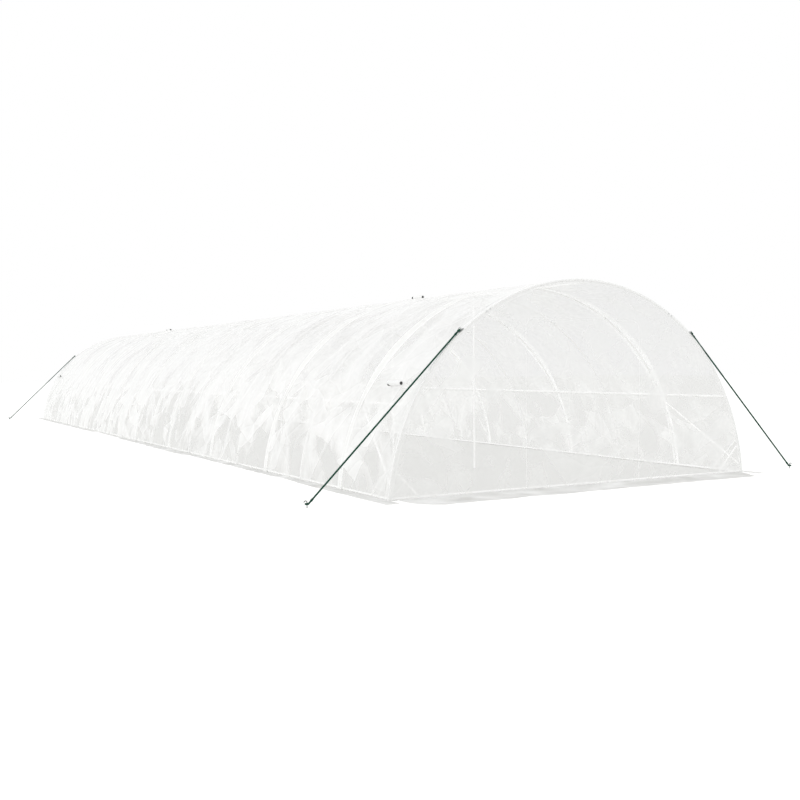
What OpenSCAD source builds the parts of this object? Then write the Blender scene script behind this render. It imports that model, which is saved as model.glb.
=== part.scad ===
// Polytunnel greenhouse: film cover over bent tube hoops, zip doors in both ends, ground skirts, guy ropes.
// Millimetres, +Z up from ground level, front end towards -Y, origin under the middle of the tunnel.

/* [Tunnel] */
// Length over the end hoops
tunnel_l = 20000; // [8000:500:30000]
// Width over the hoops at the ground
tunnel_w = 5000; // [4000:100:6000]
// Height over the hoops
tunnel_h = 2300; // [2000:50:2800]
// Bays from hoop to hoop
bays = 18; // [6:2:24]

/* [Frame tubes] */
// Outside diameter of hoops, purlins, ground rails and posts
tube_d = 25; // [20:1:40]
// Outside diameter of the diagonal braces
brace_d = 20; // [14:1:24]
// Height of the side purlins
purlin_z = 950; // [750:25:1200]
// Bays from one centre post to the next
post_step = 2; // [1:1:4]
// Height where the corner braces meet the end hoops
corner_brace_z = 330; // [200:10:450]
// Distance along the ground rail to the foot of the side corner braces
corner_brace_reach = 450; // [300:10:700]
// Height where the side corner braces meet the end hoops
side_brace_z = 420; // [300:10:550]
// Height of the foot of the wind braces on the end hoops
wind_brace_z = 110; // [90:5:160]
// Clearance along the hoop between the wind braces and the side purlins
wind_brace_drop = 20; // [18:1:60]
// Length of the wind braces past the hoop that they lean on
wind_brace_tail = 25; // [15:1:28]

/* [Film] */
// Thickness of the film panels
film_t = 3; // [2:0.5:6]
// Strips of film in each sixth of the cover
cover_strips = 4; // [1:1:6]
// Width of the skirts along the sides
side_skirt_w = 130; // [60:10:400]
// Width of the skirts across the ends
end_skirt_w = 480; // [200:10:700]
// Length that the slanted ends of the end skirts draw in towards their outer edge
end_skirt_slant = 250; // [0:10:600]
// Length of the side skirts beyond the end panels
skirt_over = 250; // [0:10:400]
// Slit between a side skirt and an end skirt
skirt_slit = 20; // [10:1:60]

/* [Zip doors] */
// Width of the door flap
door_w = 1600; // [1000:50:2000]
// Height of the door flap
door_h = 1850; // [1600:50:1950]
// Gap of the zip around the flap
zip_gap = 0.5; // [0.3:0.1:0.9]

/* [Guy ropes] */
// Diameter of the rope
rope_d = 18; // [8:1:18]
// Height of the rope hooks on the end hoops
rope_z = 1725; // [1500:25:1800]
// Distance of the pegs from the middle of the tunnel
peg_x = 3375; // [3200:25:4200]
// Diameter of the peg rod
peg_d = 10; // [8:1:16]
// Height of the rope loop on the peg
peg_tie_z = 36; // [24:1:60]
// Mean radius of the ring on the rope hook
ring_r = 16; // [15:1:22]
// Wire diameter of the ring
ring_wire = 6; // [4:1:8]
// Thickness of the saddle plate under the ring
plate_t = 4; // [3:0.5:6]
// Width of the saddle plate
plate_w = 30; // [20:1:50]
// Length of the saddle plate along the hoop
plate_l = 70; // [50:5:120]
// Radius of the bend at the top of the peg
peg_bend_r = 16; // [12:1:30]
// Straight length of the peg between the rope loop and the bend
peg_neck = 6; // [4:1:30]

/* [Cover sleeves] */
// Outside diameter of the sleeves
sleeve_d = 60; // [40:5:90]
// Length of the sleeves
sleeve_l = 270; // [150:10:400]
// Diameter of the bore in the front end of each sleeve
sleeve_bore = 36; // [20:2:60]
// Depth of the bore
sleeve_bore_l = 80; // [40:5:140]
// Height of the side sleeves
sleeve_z = 1170; // [1000:10:1400]
// Distance of the side sleeves from the ends of the tunnel
side_sleeve_in = 500; // [300:20:900]
// Distance of the ridge sleeves from the ends of the tunnel
ridge_sleeve_in = 3680; // [1000:20:4000]

/* [Hidden] */
// Clearance between pieces that seat on each other
gap = 0.3;
// Overshoot of a cut past the face that it opens
cut = 10;
$fn = 64;
half_l = tunnel_l / 2;
half_w = (tunnel_w - tube_d) / 2;
rise = tunnel_h - tube_d / 2;
// Circle through both feet and the top of the hoop centre line
hoop_r = (half_w * half_w + rise * rise) / (2 * rise);
hoop_zc = rise - hoop_r;
hoop_pitch = (tunnel_l - tube_d) / bays;
function hoop_y(i) = -half_l + tube_d / 2 + i * hoop_pitch;
// Angle on a circle about the hoop centre where it stands at height z
function at_z(r, z) = asin((z - hoop_zc) / r);
foot_a = at_z(hoop_r, 0);

// Purlins and rails touch the inner side of the hoops
inner_r = hoop_r - tube_d - gap;
purlin_a = at_z(inner_r, purlin_z);
ridge_z = hoop_zc + inner_r;
rail_x = inner_r * cos(at_z(inner_r, tube_d / 2));
bar_y = half_l - tube_d * 1.5 - gap;
shoulder_a = (purlin_a + 90) / 2;

// Film lies on the outside of the hoops
film_in = hoop_r + tube_d / 2 + gap;
film_out = film_in + film_t;
film_a = at_z(film_in, 0);
film_x = film_out * cos(at_z(film_out, 0));
panel_y = half_l + gap;
cover_step = (180 - 2 * film_a) / 6;

// Rope hook: ring on a saddle plate, centred on the end hoop
hook_y = half_l - tube_d / 2;
hook_r = film_out + gap + plate_t + ring_r;
hook_a = at_z(hook_r, rope_z);
hook_p = [hook_r * cos(hook_a), 0, rope_z];
ring_loop_r = ring_wire / 2 + gap + rope_d / 2;
peg_loop_r = peg_d / 2 + gap + rope_d / 2;
rope_end = [peg_x - peg_loop_r, 0, peg_tie_z];
rope_dir = (rope_end - hook_p) / norm(rope_end - hook_p);
rope_pitch = atan2(-rope_dir[2], rope_dir[0]);

// Wind brace on the inner side of an end hoop and of the hoop next to it; being straight between
// two bent tubes it needs more room than the plain clearance
wind_seat = 0.8;
wind_r = hoop_r - (tube_d + brace_d) / 2 - wind_seat;
wind_a0 = at_z(wind_r, wind_brace_z);
wind_a1 = purlin_a - ((tube_d + brace_d) / 2 + wind_brace_drop) / hoop_r * 180 / PI;

hoop_names = [for (i = [0 : bays]) str("hoop_", i < 9 ? "0" : "", i + 1)];
cover_names = ["cover_right_wall", "cover_right_shoulder", "cover_right_crown",
               "cover_left_crown", "cover_left_shoulder", "cover_left_wall"];

// Straight round rod from point p to point q
module rod(p, q, d) {
    v = q - p;
    translate(p)
        rotate([0, acos(v[2] / norm(v)), atan2(v[1], v[0])])
            cylinder(d = d, h = norm(v));
}

// Tube bent to the hoop circle between two angles, in the plane y = 0
module bent_tube(a0, a1) {
    translate([0, 0, hoop_zc])
        rotate([90, 0, 0])
            rotate([0, 0, a0])
                rotate_extrude(angle = a1 - a0, $fn = 360)
                    translate([hoop_r, 0])
                        circle(d = tube_d, $fn = 48);
}

// Half a hoop: foot, wall and crown tubes butted at the purlin and at the shoulder
module half_hoop() {
    butt = gap / 2 / hoop_r * 180 / PI;
    difference() {
        bent_tube(foot_a - 1, purlin_a - butt);
        translate([0, -tube_d, -tunnel_h])
            cube([tunnel_w, 2 * tube_d, tunnel_h]);
    }
    bent_tube(purlin_a + butt, shoulder_a - butt);
    bent_tube(shoulder_a + butt, 90 - butt);
}

module hoop(i) {
    color("Gainsboro")
        translate([0, hoop_y(i), 0]) {
            half_hoop();
            mirror([1, 0, 0]) half_hoop();
        }
}

// Long tube from end to end of the frame
module long_tube(x, z) {
    color("Gainsboro")
        translate([x, half_l, z])
            rotate([90, 0, 0])
                cylinder(d = tube_d, h = tunnel_l);
}

module side_purlin(side) {
    long_tube(side * inner_r * cos(purlin_a), purlin_z);
}

module ground_rail(side) {
    long_tube(side * rail_x, tube_d / 2);
}

// Tube across one end, between the ground rails
module ground_bar(end) {
    reach = rail_x - tube_d / 2 - gap;
    color("Gainsboro")
        translate([-reach, end * bar_y, tube_d / 2])
            rotate([0, 90, 0])
                cylinder(d = tube_d, h = 2 * reach);
}

module centre_posts() {
    color("Gainsboro")
        for (i = [post_step : post_step : bays - 1])
            translate([0, hoop_y(i), 0])
                cylinder(d = tube_d, h = ridge_z - tube_d / 2 - gap);
}

// Repeats a piece of the rear right corner at all four corners
module each_corner() {
    for (sx = [0, 1], sy = [0, 1])
        mirror([sx, 0, 0]) mirror([0, sy, 0]) children();
}

// Diagonals in an end plane and in a side plane, feet cut flat to sit on the bar and the rail
module corner_braces() {
    top_x = hoop_r * cos(at_z(hoop_r, corner_brace_z));
    end_y = half_l - tube_d - gap - brace_d / 2;
    side_x = hoop_r * cos(at_z(hoop_r, side_brace_z));
    color("Gainsboro")
        each_corner() {
            difference() {
                rod([top_x, end_y, corner_brace_z], [top_x - corner_brace_z, end_y, 0], brace_d);
                translate([0, end_y - brace_d, -brace_d])
                    cube([tunnel_w, 2 * brace_d, brace_d + tube_d + gap]);
            }
            difference() {
                rod([side_x, half_l - tube_d / 2, side_brace_z],
                    [rail_x, half_l - tube_d / 2 - corner_brace_reach, 0], brace_d);
                translate([0, half_l - tube_d - gap, 0])
                    cube([tunnel_w, tube_d + brace_d, tunnel_h]);
                translate([0, half_l - 2 * corner_brace_reach, -brace_d])
                    cube([tunnel_w, 2 * corner_brace_reach, brace_d + tube_d + gap]);
            }
        }
}

module wind_braces() {
    y0 = half_l - tube_d / 2;
    foot = [wind_r * cos(wind_a0), y0, wind_brace_z];
    top = [wind_r * cos(wind_a1), y0 - hoop_pitch, hoop_zc + wind_r * sin(wind_a1)];
    color("Gainsboro")
        each_corner()
            rod(foot, top + (top - foot) / norm(top - foot) * wind_brace_tail, brace_d);
}

// A sixth of the cover over the whole length: strips of film laid edge to edge round the arch
module cover(k) {
    strip_a = cover_step / cover_strips;
    seam_a = gap / film_in * 180 / PI;
    color("White", 0.5)
        translate([0, 0, hoop_zc])
            rotate([90, 0, 0])
                for (j = [0 : cover_strips - 1])
                    rotate([0, 0, film_a + k * cover_step + j * strip_a])
                        rotate_extrude(angle = strip_a - (j < cover_strips - 1 ? seam_a : 0), $fn = 180)
                            translate([film_in, -panel_y])
                                square([film_t, 2 * panel_y]);
}

// Flat panel that closes one end, with the doorway cut through it
module end_panel(end) {
    color("White", 0.5)
        translate([0, end * (panel_y + film_t / 2) + film_t / 2, 0])
            rotate([90, 0, 0])
                linear_extrude(film_t)
                    difference() {
                        intersection() {
                            translate([0, hoop_zc]) circle(r = film_out, $fn = 360);
                            translate([-tunnel_w, 0]) square([2 * tunnel_w, 2 * tunnel_h]);
                        }
                        translate([-door_w / 2, -cut]) square([door_w, door_h + cut]);
                    }
}

module door_flap(end) {
    color("White", 0.5)
        translate([-door_w / 2 + zip_gap, end * (panel_y + film_t / 2) - film_t / 2, 0])
            cube([door_w - 2 * zip_gap, film_t, door_h - zip_gap]);
}

// Film spread on the ground along one side
module side_skirt(side) {
    x0 = film_x + gap;
    color("White", 0.5)
        translate([side > 0 ? x0 : -x0 - side_skirt_w, -half_l - skirt_over, 0])
            cube([side_skirt_w, tunnel_l + 2 * skirt_over, film_t]);
}

// Film spread on the ground in front of one end, drawn in at its outer corners
module end_skirt(end) {
    reach = film_x - skirt_slit;
    y0 = panel_y + film_t;
    color("White", 0.5)
        linear_extrude(film_t)
            polygon([[-reach, end * y0], [reach, end * y0],
                     [reach - end_skirt_slant, end * (y0 + end_skirt_w)],
                     [end_skirt_slant - reach, end * (y0 + end_skirt_w)]]);
}

// Saddle plate on the film over each end hoop, with a ring for the rope
module rope_hooks() {
    arc = plate_l / film_out * 180 / PI;
    color("Silver")
        each_corner() {
            translate([0, hook_y, hoop_zc])
                rotate([90, 0, 0])
                    rotate([0, 0, hook_a - arc / 2])
                        rotate_extrude(angle = arc, $fn = 180)
                            translate([film_out + gap, -plate_w / 2])
                                square([plate_t, plate_w]);
            translate([hook_p[0], hook_y, hook_p[2]])
                rotate([90, 0, 0])
                    rotate_extrude()
                        translate([ring_r, 0])
                            circle(d = ring_wire);
        }
}

// Rope from the hook to the peg with a loop at both ends, in the plane y = 0
module guy_rope() {
    ring_p = hook_p + rope_dir * ring_r;
    translate(ring_p)
        rotate([0, rope_pitch, 0])
            rotate_extrude()
                translate([ring_loop_r, 0])
                    circle(d = rope_d);
    rod(ring_p + rope_dir * ring_loop_r, rope_end, rope_d);
    translate([peg_x, 0, peg_tie_z])
        rotate_extrude()
            translate([peg_loop_r, 0])
                circle(d = rope_d);
}

module guy_ropes(end) {
    color("DarkSlateGray")
        translate([0, end * hook_y, 0]) {
            guy_rope();
            mirror([1, 0, 0]) guy_rope();
        }
}

// Pegs standing out of the ground, each bent over to a hook away from the tunnel
module ground_pegs() {
    bend_z = peg_tie_z + rope_d / 2 + peg_neck;
    color("Silver")
        each_corner()
            translate([peg_x, hook_y, 0]) {
                cylinder(d = peg_d, h = bend_z);
                translate([peg_bend_r, 0, bend_z])
                    rotate([90, 0, 0])
                        rotate_extrude(angle = 180)
                            translate([peg_bend_r, 0])
                                circle(d = peg_d);
            }
}

// Short tube lying along the cover, bored from its front end
module sleeve() {
    translate([0, sleeve_l / 2, 0])
        rotate([90, 0, 0])
            difference() {
                cylinder(d = sleeve_d, h = sleeve_l);
                translate([0, 0, sleeve_l - sleeve_bore_l])
                    cylinder(d = sleeve_bore, h = sleeve_bore_l + cut);
            }
}

// One sleeve on the left side near both ends, one on the ridge further in from each end
module cover_sleeves() {
    seat_r = film_out + gap + sleeve_d / 2;
    seat_a = at_z(seat_r, sleeve_z);
    color("White") {
        for (sy = [-1, 1]) {
            translate([-seat_r * cos(seat_a), sy * (half_l - side_sleeve_in), sleeve_z]) sleeve();
            translate([0, sy * (half_l - ridge_sleeve_in), hoop_zc + seat_r]) sleeve();
        }
    }
}

for (i = [0 : bays])
    hoop(i);
for (k = [0 : 5])
    cover(k);
long_tube(0, ridge_z);  // ridge_purlin
side_purlin(-1);  // left_purlin
side_purlin(1);  // right_purlin
ground_rail(-1);  // left_ground_rail
ground_rail(1);  // right_ground_rail
ground_bar(-1);  // front_ground_bar
ground_bar(1);  // rear_ground_bar
centre_posts();
corner_braces();
wind_braces();
end_panel(-1);  // front_end_panel
door_flap(-1);  // front_door_flap
end_panel(1);  // rear_end_panel
door_flap(1);  // rear_door_flap
side_skirt(-1);  // left_skirt
side_skirt(1);  // right_skirt
end_skirt(-1);  // front_skirt
end_skirt(1);  // rear_skirt
rope_hooks();
guy_ropes(-1);  // front_guy_ropes
guy_ropes(1);  // rear_guy_ropes
ground_pegs();
cover_sleeves();
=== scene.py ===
import math

import bmesh
import bpy
import numpy as np
from mathutils import Matrix, Vector, noise


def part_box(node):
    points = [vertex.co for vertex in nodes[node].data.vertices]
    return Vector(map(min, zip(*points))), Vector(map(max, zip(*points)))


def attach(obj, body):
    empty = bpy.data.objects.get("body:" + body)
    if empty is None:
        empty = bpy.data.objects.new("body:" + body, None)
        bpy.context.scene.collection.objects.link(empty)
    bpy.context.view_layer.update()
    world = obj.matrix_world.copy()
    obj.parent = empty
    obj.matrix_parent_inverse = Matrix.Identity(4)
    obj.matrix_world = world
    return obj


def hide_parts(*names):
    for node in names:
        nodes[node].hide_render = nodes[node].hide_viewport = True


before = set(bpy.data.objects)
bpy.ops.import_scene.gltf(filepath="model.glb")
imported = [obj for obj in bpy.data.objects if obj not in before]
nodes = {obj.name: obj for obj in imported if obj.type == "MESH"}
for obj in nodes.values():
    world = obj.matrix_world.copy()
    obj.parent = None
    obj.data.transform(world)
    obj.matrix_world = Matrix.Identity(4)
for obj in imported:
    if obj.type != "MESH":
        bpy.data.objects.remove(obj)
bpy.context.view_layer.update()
scene = bpy.context.scene


# Stage: the tunnel stands on a plain pale floor in soft daylight that comes from both of its sides.
# The camera stands off the front left corner, a little over half the tunnel's height above the ground.
scene.view_settings.view_transform = "Standard"
camera_place = (-7.179, -18.675, 1.334)
camera_yaw = math.radians(29.07)
camera_pitch = math.radians(-1.88)
camera_roll = math.radians(-0.44)
camera = bpy.data.objects.new("camera", bpy.data.cameras.new("camera"))
camera.data.sensor_width = 36
camera.data.lens = 44.63
camera.data.clip_end = 500
camera.matrix_world = (
    Matrix.Translation(camera_place)
    @ Matrix.Rotation(-camera_yaw, 4, "Z")
    @ Matrix.Rotation(math.pi / 2 + camera_pitch, 4, "X")
    @ Matrix.Rotation(camera_roll, 4, "Z")
)
scene.collection.objects.link(camera)
scene.camera = camera

sun_angle = math.radians(22)
sun_rows = (("left_light", 0.62, (-0.90, -0.36, 0.26)), ("right_light", 0.46, (0.80, 0.28, 0.53)))
for name, strength, sun_from in sun_rows:
    sun = bpy.data.objects.new(name, bpy.data.lights.new(name, "SUN"))
    sun.data.energy = strength
    sun.data.angle = sun_angle
    sun.matrix_world = Vector(sun_from).to_track_quat("Z", "Y").to_matrix().to_4x4()
    scene.collection.objects.link(sun)


def add(tree, kind, inputs=None, **settings):
    """Adds a node; an input given as a socket is linked, any other input value is set on its socket."""
    node = tree.nodes.new(kind)
    for name, value in settings.items():
        setattr(node, name, value)
    for key, value in (inputs or {}).items():
        if isinstance(value, bpy.types.NodeSocket):
            tree.links.new(value, node.inputs[key])
        else:
            node.inputs[key].default_value = value
    return node


def calc(tree, operation, *values):
    """Adds one math node, in a shader or a geometry tree, and gives its result."""
    return add(tree, "ShaderNodeMath", dict(enumerate(values)), operation=operation).outputs[0]


def backdrop_mask(tree):
    """1 for rays that see the backdrop itself, straight or in a mirror, and 0 where film is before it."""
    path = add(tree, "ShaderNodeLightPath").outputs
    direct = calc(tree, "LESS_THAN", path["Transparent Depth"], 0.5)
    straight = calc(tree, "MULTIPLY", path["Is Camera Ray"], direct)
    mirrored = calc(tree, "MAXIMUM", path["Is Glossy Ray"], path["Is Transmission Ray"])
    return calc(tree, "MAXIMUM", straight, mirrored)


sky_level = 0.94
sky_through_film = 0.83
sky_backdrop = 1.0
scene.world = bpy.data.worlds.new("daylight")
scene.world.use_nodes = True
sky = scene.world.node_tree
sky.nodes.clear()
sky_seen = add(sky, "ShaderNodeLightPath").outputs["Is Camera Ray"]
sky_plain = add(sky, "ShaderNodeMix", {0: sky_seen, 2: sky_level, 3: sky_through_film}, data_type="FLOAT")
sky_mix = add(sky, "ShaderNodeMix", {0: backdrop_mask(sky), 2: sky_plain.outputs[0], 3: sky_backdrop},
              data_type="FLOAT")
sky_light = add(sky, "ShaderNodeBackground", {"Strength": sky_mix.outputs[0]})
sky_light.inputs["Color"].default_value = (1.0, 1.0, 1.0, 1.0)
add(sky, "ShaderNodeOutputWorld", {"Surface": sky_light.outputs[0]})

floor_half = 90.0
floor_z = -0.002
floor_color = (0.74, 0.74, 0.725, 1.0)
floor_white = 0.40
floor_mesh = bpy.data.meshes.new("floor")
floor_mesh.from_pydata(
    [(x * floor_half, y * floor_half, floor_z) for x, y in ((-1, -1), (1, -1), (1, 1), (-1, 1))],
    [], [(0, 1, 2, 3)])
floor_material = bpy.data.materials.new("pale_floor")
floor_material.use_nodes = True
ground = floor_material.node_tree
ground.nodes.clear()
ground_matt = add(ground, "ShaderNodeBsdfDiffuse", {"Color": floor_color})
ground_glow = add(ground, "ShaderNodeEmission",
                  {"Strength": calc(ground, "MULTIPLY", backdrop_mask(ground), floor_white)})
ground_sum = add(ground, "ShaderNodeAddShader", {0: ground_matt.outputs[0], 1: ground_glow.outputs[0]})
add(ground, "ShaderNodeOutputMaterial", {"Surface": ground_sum.outputs[0]})
floor_mesh.materials.append(floor_material)
floor = bpy.data.objects.new("floor", floor_mesh)
scene.collection.objects.link(floor)


# Hoops: nineteen arches of 25 mm steel tube, coated white, each bent to one circle from foot to foot.
# They stand on the ground beside their rails and carry everything else.
tube_r = 0.0125
hoop_nodes = sorted(name for name in nodes if name.startswith("hoop_"))
front_low, front_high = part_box(hoop_nodes[0])
rear_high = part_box(hoop_nodes[-1])[1]
hoop_front_y = front_low.y + tube_r
hoop_rear_y = rear_high.y - tube_r
hoop_pitch = (hoop_rear_y - hoop_front_y) / (len(hoop_nodes) - 1)
hoop_half_w = front_high.x - tube_r
hoop_rise = front_high.z - tube_r
hoop_r = (hoop_half_w ** 2 + hoop_rise ** 2) / (2 * hoop_rise)
hoop_zc = hoop_rise - hoop_r
hoop_foot_z = 0.0013
foot_angle = math.asin((hoop_foot_z - hoop_zc) / hoop_r)


def geometry_tree(name, sizes):
    """A geometry node tree with one named input for each size, and its input sockets."""
    tree = bpy.data.node_groups.new(name, "GeometryNodeTree")
    tree.interface.new_socket("Geometry", in_out="INPUT", socket_type="NodeSocketGeometry")
    for label, value in sizes.items():
        kind = {int: "NodeSocketInt", float: "NodeSocketFloat"}.get(type(value), "NodeSocketMaterial")
        tree.interface.new_socket(label, in_out="INPUT", socket_type=kind)
    tree.interface.new_socket("Geometry", in_out="OUTPUT", socket_type="NodeSocketGeometry")
    return tree, add(tree, "NodeGroupInput").outputs


def end_tree(tree, geometry, material):
    """Closes a geometry tree: instances made real, one material."""
    real = add(tree, "GeometryNodeRealizeInstances", {"Geometry": geometry}).outputs[0]
    coated = add(tree, "GeometryNodeSetMaterial", {"Geometry": real, "Material": material}).outputs[0]
    add(tree, "NodeGroupOutput", {0: coated})


def vector(tree, x=0.0, y=0.0, z=0.0):
    """A vector put together from values or sockets."""
    return add(tree, "ShaderNodeCombineXYZ", {"X": x, "Y": y, "Z": z}).outputs[0]


def moved(tree, geometry, place, turn=(0, 0, 0)):
    """The geometry turned and then moved to a place; the place may be a socket."""
    return add(tree, "GeometryNodeTransform",
               {"Geometry": geometry, "Translation": place, "Rotation": turn}).outputs[0]


def round_bar(tree, line, sides, radius):
    """A round bar with closed ends along a curve."""
    profile = add(tree, "GeometryNodeCurvePrimitiveCircle", {"Resolution": sides, "Radius": radius})
    return add(tree, "GeometryNodeCurveToMesh",
               {"Curve": line, "Profile Curve": profile.outputs[0], "Fill Caps": True}).outputs[0]


def piece_of(name, points, edges=(), faces=()):
    """A new object at the origin with a plain mesh."""
    mesh = bpy.data.meshes.new(name)
    mesh.from_pydata([tuple(p) for p in points], list(edges), list(faces))
    piece = bpy.data.objects.new(name, mesh)
    scene.collection.objects.link(piece)
    return piece


def run_tree(piece, tree, sizes):
    """Runs a geometry tree on a piece and keeps the result as the piece's own mesh."""
    modifier = piece.modifiers.new(tree.name, "NODES")
    modifier.node_group = tree
    for socket in tree.interface.items_tree:
        if socket.in_out == "INPUT" and socket.name in sizes:
            modifier[socket.identifier] = sizes[socket.name]
    graph = bpy.context.evaluated_depsgraph_get()
    grown = bpy.data.meshes.new_from_object(piece.evaluated_get(graph))
    piece.modifiers.clear()
    piece.data = grown
    piece.data.name = piece.name


def cloudy(tree, place, scale, detail):
    """A noise texture over the place, as one value."""
    return add(tree, "ShaderNodeTexNoise", {"Vector": place, "Scale": scale, "Detail": detail}).outputs[0]


def ramp(tree, value, low, high, at_low, at_high):
    """A value that goes from at_low to at_high while the given one goes from low to high."""
    return add(tree, "ShaderNodeMapRange", {0: value, 1: low, 2: high, 3: at_low, 4: at_high}).outputs[0]


def blend(tree, share, first, second):
    """The first colour with a share of the second one."""
    return add(tree, "ShaderNodeMix", {0: share, 6: first, 7: second}, data_type="RGBA").outputs[2]


def shader_group(name, inputs, outputs):
    """A shader group with named inputs and outputs, given with their kinds, and its input sockets."""
    group = bpy.data.node_groups.new(name, "ShaderNodeTree")
    for way, sockets in (("INPUT", inputs), ("OUTPUT", outputs)):
        for label, kind in sockets.items():
            group.interface.new_socket(label, in_out=way, socket_type="NodeSocket" + kind)
    return group, add(group, "NodeGroupInput").outputs


metal_grain = 0.00008


def metal_finish():
    """Shader group for tube, plate and plastic: fine grain and faint scuffs, from object coordinates."""
    group, given = shader_group(
        "metal_finish", {"Paint": "Color", "Scuff": "Color", "Wear": "Float", "Matt": "Float"},
        {"Color": "Color", "Roughness": "Float", "Height": "Float"})
    place = add(group, "ShaderNodeTexCoord").outputs["Object"]
    grain = cloudy(group, place, 900.0, 2.0)
    cloud = cloudy(group, place, 14.0, 5.0)
    scuff = ramp(group, cloud, 0.54, 0.74, 0.0, 1.0)
    worn = calc(group, "MULTIPLY", scuff, given["Wear"])
    color = blend(group, worn, given["Paint"], given["Scuff"])
    uneven = ramp(group, cloud, 0.3, 0.8, 0.0, 0.2)
    rough = calc(group, "ADD", given["Matt"], uneven)
    height = calc(group, "MULTIPLY", grain, metal_grain)
    add(group, "NodeGroupOutput", {0: color, 1: rough, 2: height})
    return group


metal_group = metal_finish()


def finished(name, group, values):
    """A material whose Principled surface has its colour, roughness and relief from a shader group."""
    material = bpy.data.materials.new(name)
    material.use_nodes = True
    tree = material.node_tree
    surface = tree.nodes["Principled BSDF"]
    finish = add(tree, "ShaderNodeGroup", values, node_tree=group)
    tree.links.new(finish.outputs["Color"], surface.inputs["Base Color"])
    tree.links.new(finish.outputs["Roughness"], surface.inputs["Roughness"])
    bump = add(tree, "ShaderNodeBump", {"Height": finish.outputs["Height"], "Distance": 1.0}).outputs[0]
    tree.links.new(bump, surface.inputs["Normal"])
    return material, surface, finish, bump


def metal_material(name, paint, scuff, wear, matt, metallic=0.0):
    """Painted or plated metal, or plain plastic."""
    values = {"Paint": paint, "Scuff": scuff, "Wear": wear, "Matt": matt}
    material, surface = finished(name, metal_group, values)[:2]
    surface.inputs["Metallic"].default_value = metallic
    return material


# The hoops have the same white coating as the straight tubes, painted a shade greyer: painted shade for the
# lesser light on the upright hoops.
hoop_white_painted_shade = metal_material("hoop_coating_painted_shade", paint=(0.90, 0.90, 0.895, 1), scuff=(0.78, 0.775, 0.75, 1),
                            wear=0.5, matt=0.36)
hoop_sizes = {"Hoops": len(hoop_nodes), "Pitch": hoop_pitch, "First Y": hoop_front_y, "Radius": hoop_r,
              "Centre Height": hoop_zc, "Foot Angle": foot_angle, "Tube Radius": tube_r,
              "Steps": 120, "Sides": 14, "Material": hoop_white_painted_shade}
hoop_tree, given = geometry_tree("bent_hoops", hoop_sizes)
sweep = calc(hoop_tree, "MULTIPLY_ADD", given["Foot Angle"], -2.0, math.pi)
arch = add(hoop_tree, "GeometryNodeCurveArc",
           {"Resolution": given["Steps"], "Radius": given["Radius"], "Start Angle": given["Foot Angle"],
            "Sweep Angle": sweep}, mode="RADIUS").outputs[0]
upright = moved(hoop_tree, arch, vector(hoop_tree, z=given["Centre Height"]), (math.pi / 2, 0, 0))
bent_tube = round_bar(hoop_tree, upright, given["Sides"], given["Tube Radius"])
row = add(hoop_tree, "GeometryNodeMeshLine",
          {"Count": given["Hoops"], "Start Location": vector(hoop_tree, y=given["First Y"]),
           "Offset": vector(hoop_tree, y=given["Pitch"])}).outputs[0]
hoop_row = add(hoop_tree, "GeometryNodeInstanceOnPoints", {"Points": row, "Instance": bent_tube}).outputs[0]
end_tree(hoop_tree, hoop_row, given["Material"])
hoops = piece_of("hoops", [(0, 0, 0)])
run_tree(hoops, hoop_tree, hoop_sizes)
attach(hoops, "root")
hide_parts(*hoop_nodes)


# Straight tubes: ridge and side purlins, ground rails, end bars and centre posts of the same coated tube,
# and slimmer 20 mm braces at the corners and slanting along the walls. All are fixed inside the hoops.
white_tube = metal_material("white_coated_tube", paint=(0.95, 0.95, 0.945, 1), scuff=(0.78, 0.77, 0.73, 1),
                            wear=0.5, matt=0.30)
straight_tubes = ["ridge_purlin", "left_purlin", "right_purlin", "left_ground_rail", "right_ground_rail",
                  "front_ground_bar", "rear_ground_bar", "centre_posts", "corner_braces", "wind_braces"]


def coat(name, material):
    """Gives a piece from the CAD frame its material."""
    nodes[name].data.materials.clear()
    nodes[name].data.materials.append(material)


for name in straight_tubes:
    coat(name, white_tube)


# Joint collars: where two lengths of a hoop meet at the shoulder, a pressed collar is bolted over the joint.
# It is coated like the tubes and sits a little to the inside, clear of the film.
purlin_low, purlin_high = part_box("right_purlin")
purlin_z = (purlin_low.z + purlin_high.z) / 2
purlin_x = (purlin_low.x + purlin_high.x) / 2
purlin_angle = math.atan2(purlin_z - hoop_zc, purlin_x)
shoulder_angle = (purlin_angle + math.pi / 2) / 2
hoop_places = [hoop_front_y + hoop_pitch * k for k in range(len(hoop_nodes))]


def fitting_points(name, places):
    """A piece of bare points, each with the turn that takes a fitting from the ridge to its angle."""
    piece = piece_of(name, [(r * math.cos(a), y, hoop_zc + r * math.sin(a)) for r, a, y in places])
    turn = piece.data.attributes.new("turn", "FLOAT_VECTOR", "POINT")
    for k, (_, angle, _) in enumerate(places):
        turn.data[k].vector = (0, math.pi / 2 - angle, 0)
    return piece


def at_points(tree, points, fitting):
    """Places a fitting on every point, turned by the point's own turn."""
    turn = add(tree, "GeometryNodeInputNamedAttribute", {"Name": "turn"},
               data_type="FLOAT_VECTOR").outputs[0]
    rotation = add(tree, "FunctionNodeEulerToRotation", {0: turn}).outputs[0]
    return add(tree, "GeometryNodeInstanceOnPoints",
               {"Points": points, "Instance": fitting, "Rotation": rotation}).outputs[0]


def cylinder(tree, sides, radius, depth):
    """A cylinder with closed ends that stands upright about its own middle."""
    sizes = {"Vertices": sides, "Radius": radius, "Depth": depth}
    return add(tree, "GeometryNodeMeshCylinder", sizes).outputs["Mesh"]


# The collars share the hoops' greyer coating, with its painted shade.
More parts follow.
